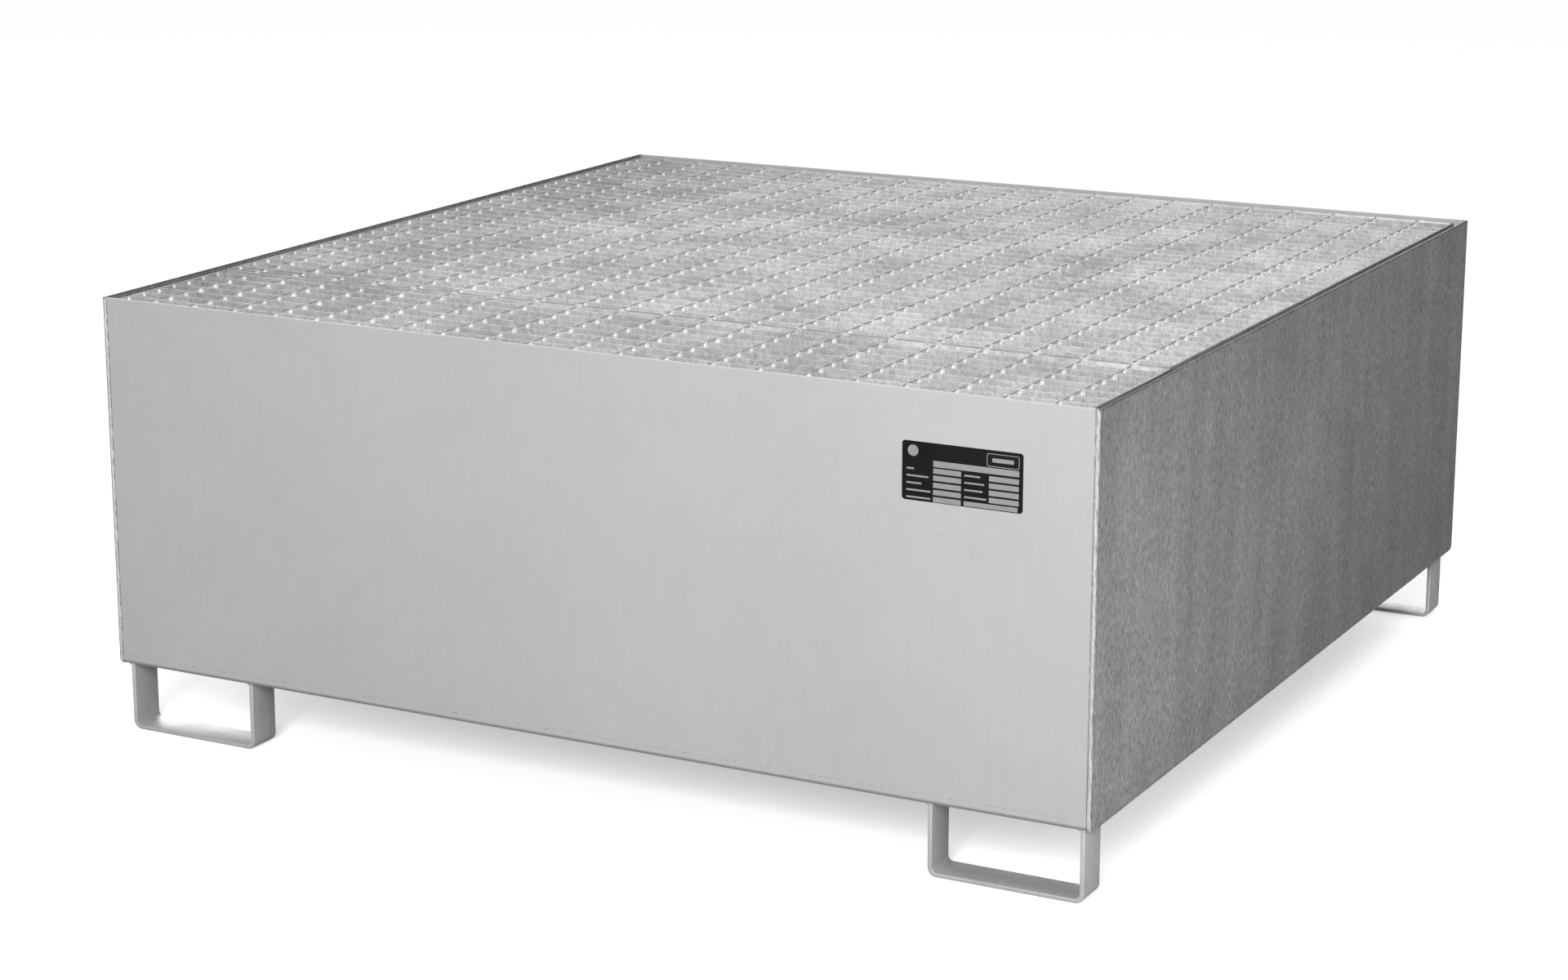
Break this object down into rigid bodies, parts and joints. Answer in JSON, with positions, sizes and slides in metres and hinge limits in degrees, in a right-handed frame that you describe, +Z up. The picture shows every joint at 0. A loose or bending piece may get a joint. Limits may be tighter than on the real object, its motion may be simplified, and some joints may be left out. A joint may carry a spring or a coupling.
{
  "type": "spill containment pallet",
  "caption": "Welded galvanised steel sump on bent-bar feet, with lift-off gratings recessed in its rim to carry a liquid container.",
  "frame": {"origin": "centre of the footprint's box, on the floor", "axes": "+Z up, -Y out of the front wall that carries the data plate, +X to the right seen from the front"},
  "size_m": [1.46, 1.46, 0.615],
  "materials": {
    "galvanised_sheet": "hot-dip galvanised sheet, dull grey with soft zinc mottling",
    "weld_seam": "rippled weld seam under hot-dip zinc, brighter than the sheet",
    "galvanised_feet": "hot-dip galvanised flat bar",
    "galvanised_inner_steel": "hot-dip galvanised angle and folded section",
    "data_plate": "black film plate with blank silver fields",
    "galvanised_grating": "hot-dip galvanised grating bars, mottled, with zinc fillets at the crossings"
  },
  "bodies": {
    "pan": {"tray": "galvanised_sheet", "side_plate_left": "galvanised_sheet", "side_plate_right": "galvanised_sheet", "corner_weld_front_left": "weld_seam", "corner_weld_front_right": "weld_seam", "corner_weld_rear_left": "weld_seam", "corner_weld_rear_right": "weld_seam", "foot_front_left": "galvanised_feet", "foot_front_right": "galvanised_feet", "foot_rear_left": "galvanised_feet", "foot_rear_right": "galvanised_feet", "ledge_front": "galvanised_inner_steel", "ledge_rear": "galvanised_inner_steel", "ledge_left": "galvanised_inner_steel", "ledge_right": "galvanised_inner_steel", "support_beam_left": "galvanised_inner_steel", "support_beam_right": "galvanised_inner_steel", "beam_seat_front_left": "galvanised_inner_steel", "beam_seat_front_right": "galvanised_inner_steel", "beam_seat_rear_left": "galvanised_inner_steel", "beam_seat_rear_right": "galvanised_inner_steel", "data_plate": "data_plate"},
    "front_grating": {"front_bearing_bars": "galvanised_grating", "front_cross_bars": "galvanised_grating", "front_panel_band_front": "galvanised_grating", "front_panel_band_rear": "galvanised_grating", "front_panel_band_left": "galvanised_grating", "front_panel_band_right": "galvanised_grating"},
    "rear_grating": {"rear_bearing_bars": "galvanised_grating", "rear_cross_bars": "galvanised_grating", "rear_panel_band_front": "galvanised_grating", "rear_panel_band_rear": "galvanised_grating", "rear_panel_band_left": "galvanised_grating", "rear_panel_band_right": "galvanised_grating"}
  },
  "joints": [
    {"name": "front_grating_lift", "type": "slide", "parent": "pan", "child": "front_grating", "axis": [0, 0, 1], "range_m": [0, 0.4]},
    {"name": "rear_grating_lift", "type": "slide", "parent": "pan", "child": "rear_grating", "axis": [0, 0, 1], "range_m": [0, 0.4]}
  ]
}
